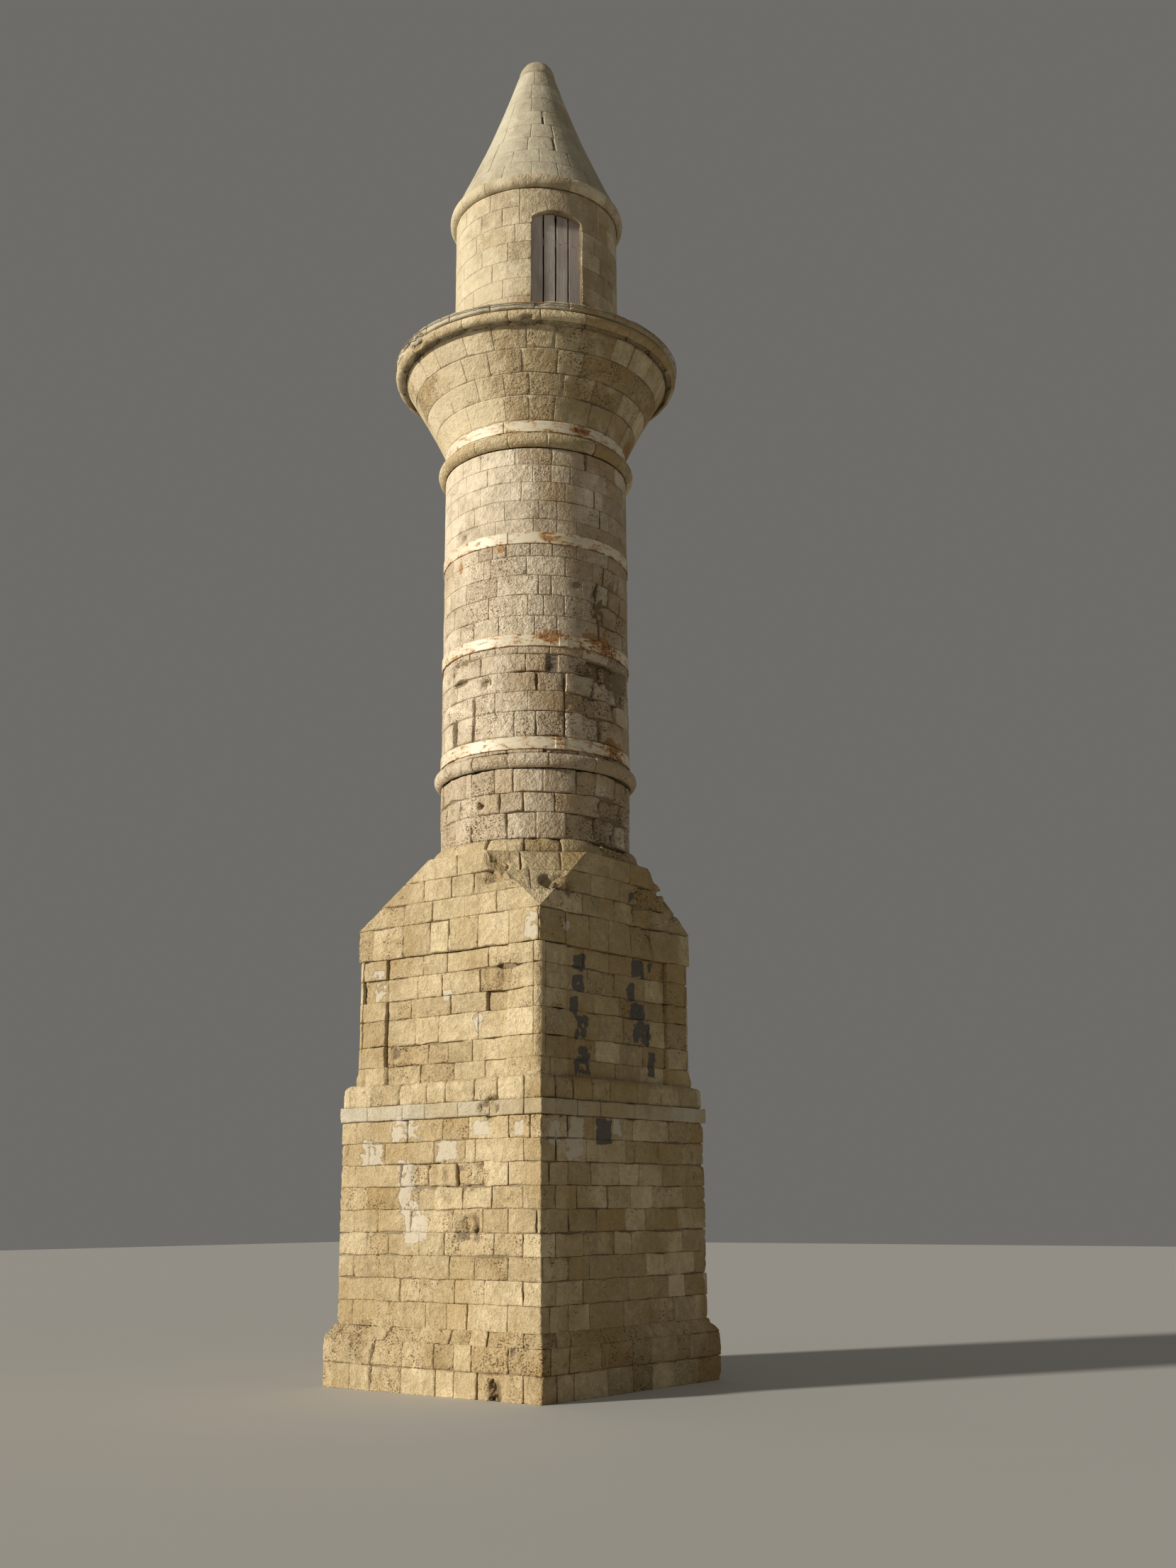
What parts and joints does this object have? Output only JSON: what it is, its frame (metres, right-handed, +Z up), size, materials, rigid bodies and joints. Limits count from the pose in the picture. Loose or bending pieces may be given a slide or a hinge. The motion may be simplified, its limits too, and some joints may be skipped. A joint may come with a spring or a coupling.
{
  "type": "stone minaret",
  "caption": "Stone minaret with a square broached base, round strapped shaft, flared balcony, boarded round lantern and stone cone; stands on level ground.",
  "frame": {"origin": "on the ground under the middle of the round shaft", "axes": "+Z up; the front face looks to -Y and the right face to +X"},
  "size_m": [3.3646, 3.3646, 15.765],
  "materials": {
    "ashlar": "weathered yellow sandstone ashlar",
    "pale_stone": "pale worn stone",
    "cone_stone": "grey-cream rendered stone",
    "strap_paint": "cream paint with rust",
    "wire": "dull bare wire",
    "board": "grey weathered boards"
  },
  "bodies": {
    "root": {"plinth_front": "ashlar", "lower_wall_front": "ashlar", "upper_wall_front": "ashlar", "corner_shaft_front": "ashlar", "plinth_right": "ashlar", "lower_wall_right": "ashlar", "upper_wall_right": "ashlar", "corner_shaft_right": "ashlar", "plinth_back": "ashlar", "lower_wall_back": "ashlar", "upper_wall_back": "ashlar", "corner_shaft_back": "ashlar", "plinth_left": "ashlar", "lower_wall_left": "ashlar", "upper_wall_left": "ashlar", "corner_shaft_left": "ashlar", "splay_course": "ashlar", "broach_stage": "ashlar", "shaft_foot": "ashlar", "lower_drum": "ashlar", "lower_roll": "ashlar", "shaft_drum_1": "ashlar", "shaft_drum_2": "ashlar", "shaft_drum_3": "ashlar", "upper_roll": "ashlar", "corbel_course_1": "ashlar", "corbel_course_2": "ashlar", "corbel_course_3": "ashlar", "corbel_course_4": "ashlar", "balcony_roll": "ashlar", "balcony_slab": "ashlar", "landing_floor": "ashlar", "lantern_wall": "ashlar", "cone_cornice": "ashlar", "string_course": "pale_stone", "cone": "cone_stone", "strap_1": "strap_paint", "strap_2": "strap_paint", "strap_3": "strap_paint", "strap_4": "strap_paint", "rim_wire": "wire", "window_mesh": "wire", "door_boards": "board"}
  },
  "joints": []
}
